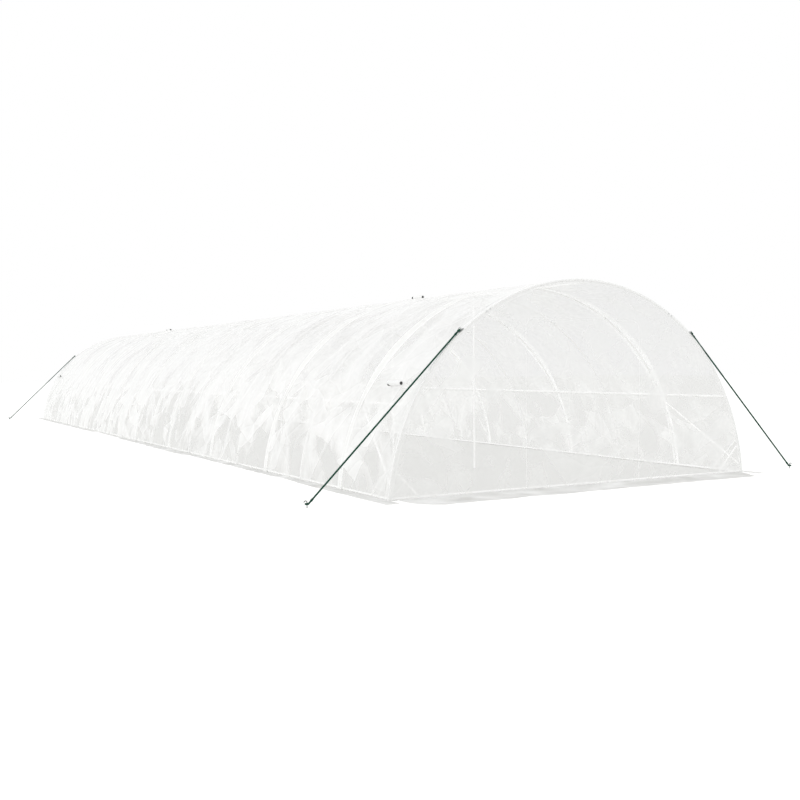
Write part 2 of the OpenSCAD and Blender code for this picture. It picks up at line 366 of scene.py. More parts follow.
collar_sizes = {"Length": 0.09, "Radius": 0.0142, "Sides": 20, "Material": hoop_white_painted_shade}
collar_tree, given = geometry_tree("joint_collars", collar_sizes)
collar = cylinder(collar_tree, given["Sides"], given["Radius"], given["Length"])
collar = moved(collar_tree, collar, (0, 0, 0), (0, math.pi / 2, 0))
end_tree(collar_tree, at_points(collar_tree, given["Geometry"], collar), given["Material"])
collar_inset = 0.0017
collar_places = [(hoop_r - collar_inset, a, y)
                 for y in hoop_places for a in (shoulder_angle, math.pi - shoulder_angle)]
collars = fitting_points("joint_collars", collar_places)
run_tree(collars, collar_tree, collar_sizes)
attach(collars, "root")


# Cross clamps: at every crossing of hoop and purlin two straps hold the purlin, with an ear on each side
# of the hoop. The clamps are pressed from coated strip steel.
ear_size = (0.022, 0.0024, 0.036)
ear_z = -0.0105


def joined(tree, parts):
    """All the geometries in one."""
    node = add(tree, "GeometryNodeJoinGeometry")
    for part in parts:
        tree.links.new(part, node.inputs[0])
    return node.outputs[0]


clamp_sizes = {"Strap Radius": 0.0143, "Strap Width": 0.016, "Strap Y": 0.0232, "Purlin Drop": 0.0253,
               "Ear Y": 0.0139, "Sides": 18, "Material": white_tube}
clamp_tree, given = geometry_tree("cross_clamps", clamp_sizes)
strap = cylinder(clamp_tree, given["Sides"], given["Strap Radius"], given["Strap Width"])
ear = add(clamp_tree, "GeometryNodeMeshCube", {"Size": ear_size}).outputs[0]
drop = calc(clamp_tree, "MULTIPLY", given["Purlin Drop"], -1.0)
clamp_parts = []
for side in (-1.0, 1.0):
    strap_place = vector(clamp_tree, y=calc(clamp_tree, "MULTIPLY", given["Strap Y"], side), z=drop)
    clamp_parts.append(moved(clamp_tree, strap, strap_place, (math.pi / 2, 0, 0)))
    ear_place = vector(clamp_tree, y=calc(clamp_tree, "MULTIPLY", given["Ear Y"], side), z=ear_z)
    clamp_parts.append(moved(clamp_tree, ear, ear_place))
clamp = joined(clamp_tree, clamp_parts)
end_tree(clamp_tree, at_points(clamp_tree, given["Geometry"], clamp), given["Material"])
clamp_angles = (purlin_angle, math.pi / 2, math.pi - purlin_angle)
clamp_places = [(hoop_r, a, y) for y in hoop_places[1:-1] for a in clamp_angles]
clamps = fitting_points("cross_clamps", clamp_places)
run_tree(clamps, clamp_tree, clamp_sizes)
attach(clamps, "root")


# Bolts: each collar has two and each clamp one, right through the hoop, with a hexagon head and a nut.
# They are zinc plated.
zinc = metal_material("zinc_plate", paint=(0.52, 0.53, 0.54, 1), scuff=(0.34, 0.34, 0.34, 1), wear=0.7,
                      matt=0.28, metallic=0.85)
bolt_sizes = {"Head Radius": 0.0068, "Head Height": 0.005, "Half Grip": 0.0165, "Sides": 6, "Material": zinc}
bolt_tree, given = geometry_tree("bolt_heads", bolt_sizes)
head = cylinder(bolt_tree, given["Sides"], given["Head Radius"], given["Head Height"])
bolt_parts = []
for side in (-1.0, 1.0):
    head_place = vector(bolt_tree, y=calc(bolt_tree, "MULTIPLY", given["Half Grip"], side))
    bolt_parts.append(moved(bolt_tree, head, head_place, (math.pi / 2, 0, 0)))
bolt = joined(bolt_tree, bolt_parts)
end_tree(bolt_tree, at_points(bolt_tree, given["Geometry"], bolt), given["Material"])
bolt_spread = 0.025
bolt_reach = bolt_spread / hoop_r
bolt_places = [(r, a + s * bolt_reach, y) for r, a, y in collar_places for s in (-1, 1)] + clamp_places
bolts = fitting_points("frame_bolts", bolt_places)
run_tree(bolts, bolt_tree, bolt_sizes)
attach(bolts, "root")


# Cover: one sheet of milky reinforced film over all the hoops, from ground to ground.
# It is pulled tight over each hoop, sinks a little between them and gathers into folds towards the ground.
film_gap = 0.0018
film_r = hoop_r + tube_r + film_gap
film_foot = math.asin(-hoop_zc / film_r)
film_end_y = -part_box("cover_right_crown")[0].y
film_arc = (math.pi - 2 * film_foot) * film_r
cover_rows = 120
cover_columns = 810
cover_sag = 0.010
cover_gather = 0.016
cover_crumple = 0.020
cover_fine = 0.005
cover_inward = -0.024


def smooth(low, high, value):
    """0 below low, 1 above high, and a soft step between."""
    t = min(1.0, max(0.0, (value - low) / (high - low)))
    return t * t * (3 - 2 * t)


def cover_offset(y, arc):
    """How far the cover stands out from its smooth cylinder at a place along and across the tunnel."""
    bay = (y - hoop_front_y) / hoop_pitch
    slack = abs(math.sin(math.pi * bay))
    side = 0.0 if arc < film_arc / 2 else 40.0
    height = min(arc, film_arc - arc)
    low = 1 - smooth(0.1, 1.9, height)
    roof = math.sin(math.pi * arc / film_arc)
    sag = -cover_sag * slack * (0.4 + 0.6 * roof)
    gather = cover_gather * low * slack ** 0.5 * noise.noise((y * 3.4, height * 0.7, 11.3 + side))
    first = abs(noise.noise((y * 1.9 + height * 1.3, height * 0.9 - y * 0.5, 4.1 + side))) - 0.2
    second = abs(noise.noise((y * 2.3 - height * 1.7, height * 1.1 + y * 0.4, 15.6 + side))) - 0.2
    crumple = cover_crumple * (0.45 + 0.55 * low) * slack ** 0.6 * (first + 0.8 * second)
    fine = cover_fine * slack ** 0.5 * (abs(noise.noise((y * 6.5, height * 4.5, 8.7 + side))) - 0.2)
    return max(cover_inward, sag + gather + crumple + fine)


def cover_point(y, arc, lift=0.0):
    """Place of a point of the cover, lifted off it if wanted."""
    angle = film_foot + arc / film_r
    radius = film_r + cover_offset(y, arc) + lift
    return (radius * math.cos(angle), y, max(0.0, hoop_zc + radius * math.sin(angle)))


def grid_faces(rows, columns, first=0):
    """Faces of a grid whose points are listed row by row."""
    return [(first + r * columns + c, first + r * columns + c + 1,
             first + (r + 1) * columns + c + 1, first + (r + 1) * columns + c)
            for r in range(rows - 1) for c in range(columns - 1)]


def film_piece(name, points, flat_points, faces, material):
    """A piece of film with its flat pattern in metres as UV map."""
    piece = piece_of(name, points, faces=faces)
    uv = piece.data.uv_layers.new(name="flat")
    loops = np.empty(len(piece.data.loops), int)
    piece.data.loops.foreach_get("vertex_index", loops)
    uv.data.foreach_set("uv", np.asarray(flat_points, np.float32)[loops].ravel())
    piece.data.shade_smooth()
    piece.data.materials.append(material)
    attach(piece, "root")
    return piece


film_white = (0.94, 0.943, 0.938, 1)
# The film's darker colour near the ground: partly dust, partly painted shade for the shade low on the film.
film_dust_and_shade = (0.59, 0.588, 0.57, 1)
thread_pitch = 0.010
thread_half_w = 0.0007


def film_surface():
    """Shader group for film: soft folds that meet in creases, slanted facets, milky patches, reinforcing
    threads, and dust with painted shade near the ground. Ridge raises a low ridge over each hoop, where
    the film is pulled tight across it."""
    group, given = shader_group(
        "film_surface", {"Flat": "Vector", "Haze": "Float", "Crumple": "Float", "Milky": "Float",
                         "Ridge": "Float", "Dust And Shade": "Float"},
        {"Color": "Color", "Haze": "Float", "Roughness": "Float", "Height": "Float"})
    flat = given["Flat"]
    place = add(group, "ShaderNodeTexCoord").outputs["Object"]
    above = add(group, "ShaderNodeSeparateXYZ", {0: place}).outputs[2]
    split = add(group, "ShaderNodeSeparateXYZ", {0: flat}).outputs

    # Folds, patches and facets are laid on a copy of the flat sheet that drifts, so that none is straight.
    drift = add(group, "ShaderNodeTexNoise", {"Vector": flat, "Scale": 0.9, "Detail": 2.0}).outputs["Color"]
    bent = add(group, "ShaderNodeVectorMath", {0: drift, 1: (0.7, 0.7, 0.0), 2: flat},
               operation="MULTIPLY_ADD").outputs[0]
    folds = []
    for turn, scale in ((0.6, (1.3, 0.7, 1.0)), (-0.5, (3.0, 1.9, 1.0))):
        laid = add(group, "ShaderNodeMapping", {"Vector": bent, "Rotation": (0, 0, turn),
                                                "Scale": scale}).outputs[0]
        wave = cloudy(group, laid, 1.0, 0.0)
        swing = calc(group, "SUBTRACT", wave, 0.5)
        folds.append(calc(group, "SMOOTH_MAX", swing, calc(group, "MULTIPLY", swing, -1.0), 0.06))
    patch = cloudy(group, bent, 2.4, 1.0)
    uneven = calc(group, "SUBTRACT", patch, 0.5)
    hung = add(group, "ShaderNodeMapping", {"Vector": bent, "Scale": (2.2, 0.35, 1.0)}).outputs[0]
    streak = cloudy(group, hung, 1.0, 1.0)

    # Facets are long slanted cells, each a little milkier or clearer than the next one.
    facets = []
    for turn, size in ((0.6, (0.52, 0.20, 1.0)), (-0.5, (0.85, 0.24, 1.0))):
        laid = add(group, "ShaderNodeMapping", {"Vector": bent, "Rotation": (0, 0, turn),
                                                "Scale": size}, vector_type="TEXTURE").outputs[0]
        cell = add(group, "ShaderNodeTexVoronoi", {"Vector": laid, "Scale": 1.0, "Smoothness": 0.12},
                   voronoi_dimensions="2D", feature="SMOOTH_F1").outputs["Color"]
        shade = add(group, "ShaderNodeSeparateColor", {0: cell}).outputs[0]
        facets.append(calc(group, "SUBTRACT", shade, 0.5))
    facet = calc(group, "MULTIPLY", calc(group, "ADD", *facets), 0.66)

    # Mottle makes the film milkier or clearer from place to place, most of all where it is loose, low down.
    mottle = calc(group, "MULTIPLY_ADD", folds[0], -2.4, 0.26)
    mottle = calc(group, "ADD", mottle, facet)
    mottle = calc(group, "ADD", mottle, calc(group, "MULTIPLY_ADD", folds[1], -2.6, 0.27))
    mottle = calc(group, "ADD", uneven, mottle)
    mottle = calc(group, "ADD", mottle, calc(group, "MULTIPLY_ADD", streak, 0.35, -0.175))
    loose = ramp(group, above, 0.5, 1.5, 1.0, 0.4)
    mottle = calc(group, "MULTIPLY", mottle, calc(group, "MULTIPLY", loose, given["Crumple"]))

    # The belt is a milky zone at hip height with ragged edges, which reaches lower beside each hoop.
    from_hoop = calc(group, "PINGPONG", calc(group, "SUBTRACT", split[0], hoop_front_y), hoop_pitch / 2)
    beside = ramp(group, from_hoop, 0.05, 0.30, 0.35, -0.05)
    ragged = calc(group, "MULTIPLY_ADD", uneven, 1.2, calc(group, "MULTIPLY_ADD", facet, 0.5, above))
    ragged = calc(group, "ADD", ragged, beside)
    rising = ramp(group, ragged, 0.55, 0.85, 0.0, 1.0)
    falling = ramp(group, ragged, 1.2, 1.9, 1.0, 0.0)
    belt = calc(group, "MULTIPLY", calc(group, "MULTIPLY", rising, falling), given["Milky"])

    threads = [calc(group, "LESS_THAN", calc(group, "PINGPONG", split[k], thread_pitch / 2), thread_half_w)
               for k in (0, 1)]
    weave = calc(group, "MAXIMUM", *threads)
    haze = calc(group, "ADD", given["Haze"], calc(group, "ADD", mottle, belt))
    haze = calc(group, "MULTIPLY_ADD", weave, 0.012, haze)
    haze = calc(group, "SMOOTH_MAX", haze, 0.09, 0.10)
    haze = add(group, "ShaderNodeClamp", {0: haze, 1: 0.03, 2: 0.97}).outputs[0]

    # Near the ground the film is darkened in patches: partly dust, partly painted shade for the shade low on
    # the film and on the skirts.
    near_ground = ramp(group, above, 0.0, 0.25, 1.0, 0.0)
    dust_and_shade = calc(group, "MULTIPLY", calc(group, "MULTIPLY", near_ground, patch), given["Dust And Shade"])
    color = blend(group, dust_and_shade, film_white, film_dust_and_shade)
    rough = ramp(group, patch, 0.25, 0.75, 0.28, 0.46)
    height = calc(group, "MULTIPLY", folds[0], 0.16)
    height = calc(group, "MULTIPLY_ADD", folds[1], 0.03, height)
    height = calc(group, "MULTIPLY", height, given["Crumple"])
    pulled = add(group, "ShaderNodeMapRange", {0: from_hoop, 1: 0.0, 2: 0.08, 3: 0.012, 4: 0.0},
                 interpolation_type="SMOOTHSTEP").outputs[0]
    height = calc(group, "MULTIPLY_ADD", pulled, given["Ridge"], height)
    height = calc(group, "MULTIPLY_ADD", weave, 0.00002, height)
    add(group, "NodeGroupOutput", {0: color, 1: haze, 2: rough, 3: height})
    return group


film_group = film_surface()


def film_material(name, haze, onward, crumple, milky=0.0, ridge=0.0, dust_and_shade=0.2):
    """Milky film: the frame shows through it where it is seen square on, and onward is the share of the
    light that it scatters on to its other side. Other light passes it more freely than sight does."""
    values = {"Haze": haze, "Crumple": crumple, "Milky": milky, "Ridge": ridge, "Dust And Shade": dust_and_shade}
    material, surface, finish, bump = finished(name, film_group, values)
    tree = material.node_tree
    flat = add(tree, "ShaderNodeUVMap", uv_map="flat").outputs[0]
    tree.links.new(flat, finish.inputs["Flat"])
    facing = add(tree, "ShaderNodeLayerWeight", {"Blend": 0.5}).outputs["Facing"]
    square_on = calc(tree, "MAXIMUM", calc(tree, "SUBTRACT", 1.0, facing), 0.12)
    clear = calc(tree, "SUBTRACT", 1.0, finish.outputs["Haze"])
    through = calc(tree, "POWER", clear, calc(tree, "DIVIDE", 1.0, square_on))
    held_back = calc(tree, "SUBTRACT", 1.0, calc(tree, "DIVIDE", through, 1.0 - onward))
    ray = add(tree, "ShaderNodeLightPath").outputs["Is Camera Ray"]
    alpha = calc(tree, "MULTIPLY", calc(tree, "MAXIMUM", held_back, 0.0), ray)
    tree.links.new(alpha, surface.inputs["Alpha"])
    glow = add(tree, "ShaderNodeBsdfTranslucent", {"Color": film_white, "Normal": bump})
    whole = add(tree, "ShaderNodeMixShader", {0: onward, 1: surface.outputs[0], 2: glow.outputs[0]})
    tree.links.new(whole.outputs[0], tree.nodes["Material Output"].inputs["Surface"])
    return material


cover_film = film_material("cover_film", haze=0.18, onward=0.11, crumple=0.50, milky=0.15, ridge=0.45)
cover_flat = [(film_end_y * (2 * c / (cover_columns - 1) - 1), film_arc * r / (cover_rows - 1))
              for r in range(cover_rows) for c in range(cover_columns)]
cover_points = [cover_point(y, arc) for y, arc in cover_flat]
cover_faces = grid_faces(cover_rows, cover_columns)
cover = film_piece("cover_sheet", cover_points, cover_flat, cover_faces, cover_film)
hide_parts(*sorted(name for name in nodes if name.startswith("cover_") and name != "cover_sleeves"))


# Seam bands: at every second hoop two widths of the cover are lapped and welded, in a double layer of film.
# The lap is cut wider over the crown than near the ground.
# The hems at the cover's two ends are double as well.
band_low_w = 0.090
band_high_w = 0.200
band_widens_from = 0.9
band_widens_to = 1.7
band_lift = 0.0012
hem_w = 0.060
band_film = film_material("seam_film", haze=0.82, onward=0.56, crumple=0.05, dust_and_shade=0.1)
hem_film = film_material("hem_film", haze=0.30, onward=0.12, crumple=0.08)
band_rows = 90
band_columns = 7
for name, film, lines in (("seam_bands", band_film, hoop_places[1::2]), ("cover_hems", hem_film, (-1, 1))):
    band_flat = []
    band_faces = []
    for line in lines:
        band_faces += grid_faces(band_rows, band_columns, len(band_flat))
        for r in range(band_rows):
            arc = film_arc * r / (band_rows - 1)
            lap = smooth(band_widens_from, band_widens_to, min(arc, film_arc - arc))
            width = band_low_w + (band_high_w - band_low_w) * lap
            first = line - width / 2
            if film is hem_film:
                width = hem_w
                first = -film_end_y if line < 0 else film_end_y - hem_w
            band_flat += [(first + width * c / (band_columns - 1), arc) for c in range(band_columns)]
    band_points = [cover_point(y, arc, band_lift) for y, arc in band_flat]
    film_piece(name, band_points, band_flat, band_faces, film)


# End sheets: one sheet of the same film closes each end, welded to the cover round the end hoop.
# It hangs in soft upright folds, with slanted ones where it is pulled towards the lower corners.
end_columns = 180
end_rows = 90
end_fold = 0.020
end_gap = 0.001
end_y = film_end_y + end_gap
end_film = film_material("end_film", haze=0.17, onward=0.06, crumple=0.30)


def end_offset(x, z):
    """How far an end sheet stands out from its plane."""
    edge = film_r - math.hypot(x, z - hoop_zc)
    free = smooth(0.03, 0.5, edge) * smooth(0.0, 0.25, z)
    upright = noise.noise((x * 2.4, z * 0.55, 21.7))
    slanted = abs(noise.noise((x * 1.5 + z * 1.2, z * 0.5, 33.1))) - 0.2
    fine = abs(noise.noise((x * 5.0, z * 2.6, 2.9))) - 0.2
    return end_fold * free * (upright + 0.8 * slanted + 0.3 * fine)


def on_end(end, flat, lift=0.0):
    """Points of an end sheet, lifted off it if wanted, from places in its flat pattern."""
    return [(x, end * (end_y + end_offset(x, z) + lift), z) for x, z in flat]


def turned_over(faces, flip):
    """The faces turned over if flip is true, and otherwise as they are."""
    return [face[::-1] for face in faces] if flip else faces


# Zip doors: each end sheet has a flap closed by a zip up both sides and across the top.
# The zip is a narrow film tape with a row of moulded white teeth.
door_low, door_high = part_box("front_door_flap")
door_half = (door_high.x - door_low.x) / 2
door_top = door_high.z
zip_tape_w = 0.026
zip_corner = 0.10
zip_film = film_material("zip_tape_film", haze=0.03, onward=0.01, crumple=0.03)
zip_white = metal_material("zip_teeth_plastic", paint=(0.93, 0.93, 0.925, 1), scuff=(0.82, 0.81, 0.79, 1),
                           wear=0.4, matt=0.38)


def stepped_line(tree, mesh, step):
    """The edges of a mesh as curves, with points at even steps."""
    line = add(tree, "GeometryNodeMeshToCurve", {"Mesh": mesh}).outputs[0]
    return add(tree, "GeometryNodeResampleCurve", {"Curve": line, "Length": step}, mode="LENGTH").outputs[0]


zip_sizes = {"Tooth Pitch": 0.009, "Tooth Length": 0.0046, "Tooth Width": 0.004, "Tooth Height": 0.003,
             "Material": zip_white}
zip_tree, given = geometry_tree("zip_teeth", zip_sizes)
zip_line = stepped_line(zip_tree, given["Geometry"], given["Tooth Pitch"])
tooth_size = vector(zip_tree, given["Tooth Width"], given["Tooth Height"], given["Tooth Length"])
tooth = add(zip_tree, "GeometryNodeMeshCube", {"Size": tooth_size}).outputs[0]
along = add(zip_tree, "GeometryNodeInputTangent").outputs[0]
tooth_turn = add(zip_tree, "FunctionNodeAlignRotationToVector", {"Vector": along}, axis="Z", pivot_axis="Y")
teeth_row = add(zip_tree, "GeometryNodeInstanceOnPoints",
                {"Points": zip_line, "Instance": tooth, "Rotation": tooth_turn.outputs[0]}).outputs[0]
end_tree(zip_tree, teeth_row, given["Material"])


def zip_path(inset):
    """Line of the zip from foot to foot, moved towards the middle of the door by the inset."""
    half = door_half - inset
    top = door_top - inset
    bend = zip_corner - inset
    line = [(-half, z * (top - bend)) for z in np.linspace(0.004, 1.0, 60)]
    line += [(-half + bend - bend * math.cos(a), top - bend + bend * math.sin(a))
             for a in np.linspace(0.1, math.pi / 2, 10)]
    return line + [(-x, z) for x, z in reversed(line)]


# The end sheets are put together here: the sheet, its rim of double film round the arch, and the zip.
# The rim is welded on, and the tape with its teeth lies on the sheet along the edge of the flap.
rim_w = 0.055
rim_lift = 0.0012
tape_lift = 0.0014
teeth_lift = 0.0026
for name, end in (("front", -1), ("rear", 1)):
    flat = []
    for row_index in range(end_rows):
        for column in range(end_columns):
            angle = math.pi - film_foot - (math.pi - 2 * film_foot) * column / (end_columns - 1)
            top = max(0.0, hoop_zc + film_r * math.sin(angle))
            flat.append((film_r * math.cos(angle), top * row_index / (end_rows - 1)))
    faces = turned_over(grid_faces(end_rows, end_columns), end > 0)
    sheet = film_piece(name + "_end_sheet", on_end(end, flat), flat, faces, end_film)
    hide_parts(name + "_end_panel", name + "_door_flap")

    rim_flat = []
    for inset in (rim_w, rim_w / 2, 0.0):
        rim_flat += [((film_r - inset) * math.cos(a), max(0.0, hoop_zc + (film_r - inset) * math.sin(a)))
                     for a in np.linspace(math.pi - film_foot, film_foot, end_columns)]
    rim_faces = turned_over(grid_faces(3, end_columns), end > 0)
    rim = film_piece(name + "_end_rim", on_end(end, rim_flat, rim_lift), rim_flat, rim_faces, hem_film)

    tape_flat = []
    for inset in (-zip_tape_w / 2, 0.0, zip_tape_w / 2):
        tape_flat += zip_path(inset)
    tape_faces = turned_over(grid_faces(3, len(tape_flat) // 3), end < 0)
    tape = film_piece(name + "_zip_tape", on_end(end, tape_flat, tape_lift), tape_flat, tape_faces, zip_film)
    teeth_line = on_end(end, zip_path(0.0), teeth_lift)
    teeth = piece_of(name + "_zip_teeth", teeth_line, [(k, k + 1) for k in range(len(teeth_line) - 1)])
    run_tree(teeth, zip_tree, zip_sizes)
    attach(teeth, "root")


# Skirts: strips of the same film that lie on the ground round the tunnel, to be weighted with soil.
# The outer edge is cut by hand, a little differently on every width of film, and lies in ripples.
# The skirts get the strongest darkening near the ground: partly soil dust, partly painted shade.
skirt_film = film_material("skirt_film", haze=0.62, onward=0.02, crumple=0.30, dust_and_shade=1.5)
skirt_rows = 9
side_columns = 700
side_seed = 5.0
skirt_ragged = 0.06
skirt_rest = 0.0035
skirt_ripple = 0.010
skirt_turn_up = 0.006


def skirt(node, columns, place, cut, length, width, seed):
    """A strip on the ground. Place gives a point from the shares along it and out from the wall and from the
    height, and cut gives the share of the width at which the outer edge is cut."""
    flat = []
    points = []
    for row_index in range(skirt_rows):
        for column in range(columns):
            along = column / (columns - 1)
            out = row_index / (skirt_rows - 1)
            ripple = noise.noise((along * length * 2.2, out * 1.5, seed))
            lane = noise.noise((math.floor(along * length / (2 * hoop_pitch)) * 3.7, seed, 6.5))
            ragged = noise.noise((along * length * 0.9, seed, 0.5))
            edge = cut(along, lane) + skirt_ragged * ragged
            lift = skirt_rest + skirt_ripple * abs(ripple) * smooth(0.0, 0.4, out)
            turned_up = skirt_turn_up * (1 - smooth(0.0, 0.1, out))
            points.append(place(along, out * edge, lift + turned_up))
            flat.append((along * length, out * width))
    faces = turned_over(grid_faces(skirt_rows, columns), node in ("right_skirt", "front_skirt"))
    sheet = film_piece(node.replace("skirt", "ground_skirt"), points, flat, faces, skirt_film)
    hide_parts(node)


def side_place(low, high, side):
    """The places of a side skirt, as skirt asks for them."""
    inner = side * min(abs(low.x), abs(high.x))
    width = high.x - low.x
    length = high.y - low.y
    return lambda along, out, up: (inner + side * out * width, low.y + along * length, up)


side_cut = 0.98
side_cut_step = 0.70
for side, name in ((-1, "left_skirt"), (1, "right_skirt")):
    low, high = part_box(name)
    skirt(name, side_columns, side_place(low, high, side),
          lambda along, lane: side_cut + side_cut_step * lane,
          high.y - low.y, high.x - low.x, side_seed + side)

end_skirt_columns = 220
end_seed = 9.0
end_cut = 1.10
end_cut_taper = 0.22
end_skirt_inset = 0.08
skirt_slant_left = 0.16
skirt_slant_right = 0.25


def end_place(low, high, end):
    """The places of an end skirt, whose two ends slant inwards on the way out."""
    inner = end * min(abs(low.y), abs(high.y))

    def place(along, out, up):
        left = low.x + end_skirt_inset + skirt_slant_left * out ** 4
        right = high.x - skirt_slant_right * out
        return (left + along * (right - left), inner + end * out * (high.y - low.y), up)

    return place


for end, name in ((-1, "front_skirt"), (1, "rear_skirt")):
    low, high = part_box(name)
    skirt(name, end_skirt_columns, end_place(low, high, end),
          lambda along, lane: end_cut - end_cut_taper * along,
          high.x - low.x, high.y - low.y, end_seed + end)


# Cover sleeves: short white plastic tubes that lie along the cover, two on its left side and two on the
# ridge. Each is open to the front, and a near-black plug set back in the bore paints the shade inside it.
# A near-black strap round the underside of its rear end, against the film, paints the shadow there.
sleeve_half = 0.135
sleeve_r = 0.030
sleeve_round = 0.004
sleeve_ease = 0.0008
bore_r = 0.018
bore_depth = 0.080
sleeve_gap = 0.0036
sleeve_side_z = 1.17
sleeve_side_y = 9.5
sleeve_ridge_y = 6.32
sleeve_white = metal_material("sleeve_plastic", paint=(0.90, 0.905, 0.90, 1), scuff=(0.76, 0.755, 0.74, 1),
                              wear=0.5, matt=0.42)
# Near-black plastic for plugs and straps: painted shade in the bores and painted shadow under the sleeves'
# rear ends.
sleeve_painted_shade = metal_material("painted_shade_plastic", paint=(0.030, 0.030, 0.031, 1),
                             scuff=(0.07, 0.07, 0.07, 1), wear=0.6, matt=0.55)
sleeve_seat = hoop_r + tube_r + sleeve_gap + sleeve_r
sleeve_side_a = math.asin((sleeve_side_z - hoop_zc) / sleeve_seat)
sleeve_places = [(math.pi - sleeve_side_a, y) for y in (-sleeve_side_y, sleeve_side_y)]
sleeve_places += [(math.pi / 2, y) for y in (-sleeve_ridge_y, sleeve_ridge_y)]


def turned_piece(name, profile, centres, sides, material, closed_ring=False, sweep=(0.0, 2 * math.pi)):
    """A profile of (radius, distance) turned about lines along the tunnel, one copy at each centre."""
    whole = sweep[1] - sweep[0] > 2 * math.pi - 0.01
    columns = sides if whole else sides + 1
    rows = len(profile)
    points = []
    faces = []
    for centre, spin in centres:
        first = len(points)
        for radius, along in profile:
            for k in range(columns):
                a = spin + sweep[0] + (sweep[1] - sweep[0]) * k / sides
                points.append((centre[0] + radius * math.cos(a), centre[1] + along,
                               centre[2] + radius * math.sin(a)))
        for r in range(rows if closed_ring else rows - 1):
            for k in range(columns if whole else columns - 1):
                n = (k + 1) % columns
                s = (r + 1) % rows
                faces.append((first + r * columns + k, first + s * columns + k,
                              first + s * columns + n, first + r * columns + n))
        if not whole and closed_ring:
            faces.append(tuple(first + r * columns for r in range(rows)))
            faces.append(tuple(first + r * columns + columns - 1 for r in reversed(range(rows))))
    piece = piece_of(name, points, faces=faces)
    tidy = bmesh.new()
    tidy.from_mesh(piece.data)
    bmesh.ops.remove_doubles(tidy, verts=tidy.verts, dist=0.00002)
    bmesh.ops.recalc_face_normals(tidy, faces=tidy.faces)
    tidy.to_mesh(piece.data)
    tidy.free()
    piece.data.materials.append(material)
    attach(piece, "root")
    return piece


sleeve_centres = [((sleeve_seat * math.cos(a), y, hoop_zc + sleeve_seat * math.sin(a)), 0.0)
                  for a, y in sleeve_places]
sleeve_profile = [
    (0.0, sleeve_half), (0.0255, sleeve_half), (0.0285, sleeve_half - sleeve_ease),
    (sleeve_r, sleeve_half - sleeve_round), (sleeve_r, sleeve_round - sleeve_half),
    (0.0290, sleeve_ease - sleeve_half), (0.0275, -sleeve_half), (0.0200, -sleeve_half),
    (0.0186, sleeve_ease - sleeve_half), (bore_r, sleeve_round - sleeve_half),
    (bore_r, bore_depth - sleeve_half), (0.0, bore_depth - sleeve_half)]
sleeves = turned_piece("sleeve_tubes", sleeve_profile, sleeve_centres, sides=32, material=sleeve_white)
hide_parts("cover_sleeves")
# Each plug paints the shade inside its bore.
plug_gap = 0.0002
plug_set_back = 0.005
plug_end_gap = 0.0005
plug_r = bore_r - plug_gap
plug_front = plug_set_back - sleeve_half
plug_rear = bore_depth - plug_end_gap - sleeve_half
plug_profile = [(0.0, plug_front), (plug_r, plug_front), (plug_r, plug_rear), (0.0, plug_rear)]
turned_piece("sleeve_bore_shade_plugs", plug_profile, sleeve_centres, sides=24, material=sleeve_painted_shade)
# Each strap paints the shadow under its sleeve's rear end.
strap_in_r = 0.0301
strap_out_r = 0.0332
strap_front = 0.098
strap_rear = 0.126
strap_sweep = (math.radians(60), math.radians(250))
strap_profile = [(strap_in_r, strap_rear), (strap_out_r, strap_rear), (strap_out_r, strap_front),
                 (strap_in_r, strap_front)]
strap_centres = [(centre, angle) for (centre, _), (angle, _) in zip(sleeve_centres, sleeve_places)]
turned_piece("sleeve_shadow_straps", strap_profile, strap_centres, sides=20, material=sleeve_painted_shade, closed_ring=True,
             sweep=strap_sweep)


# Rope hooks: a saddle plate lies on the film over each end hoop, with a ring welded to it for the rope.
# Plate and ring are galvanised steel, held by two flat-headed rivets.
hook_steel = metal_material("galvanised_hook", paint=(0.30, 0.31, 0.31, 1), scuff=(0.17, 0.17, 0.165, 1),
                            wear=0.8, matt=0.34, metallic=0.8)
coat("rope_hooks", hook_steel)
plate_lift = 0.0076
plate_face_r = hoop_r + tube_r + plate_lift
ring_r = 0.016
hook_r = plate_face_r + ring_r
hook_z = 1.725
hook_a = math.asin((hook_z - hoop_zc) / hook_r)
hook_ends = (hoop_front_y, hoop_rear_y)
rivet_sizes = {"Radius": 0.0042, "Height": 0.0032, "Sides": 12, "Material": zinc}
rivet_tree, given = geometry_tree("hook_rivets", rivet_sizes)
rivet = cylinder(rivet_tree, given["Sides"], given["Radius"], given["Height"])
end_tree(rivet_tree, at_points(rivet_tree, given["Geometry"], rivet), given["Material"])
rivet_spread = 0.027
rivet_seat = 0.001
rivet_reach = rivet_spread / plate_face_r
rivet_places = [(plate_face_r + rivet_seat, a + s * rivet_reach, y)
                for y in hook_ends for a in (hook_a, math.pi - hook_a) for s in (-1, 1)]
rivets = fitting_points("hook_rivets", rivet_places)
run_tree(rivets, rivet_tree, rivet_sizes)
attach(rivets, "root")


# Ground pegs: round steel rod with the top bent over, driven in beside each corner.
# They are galvanised like the hooks.
coat("ground_pegs", hook_steel)


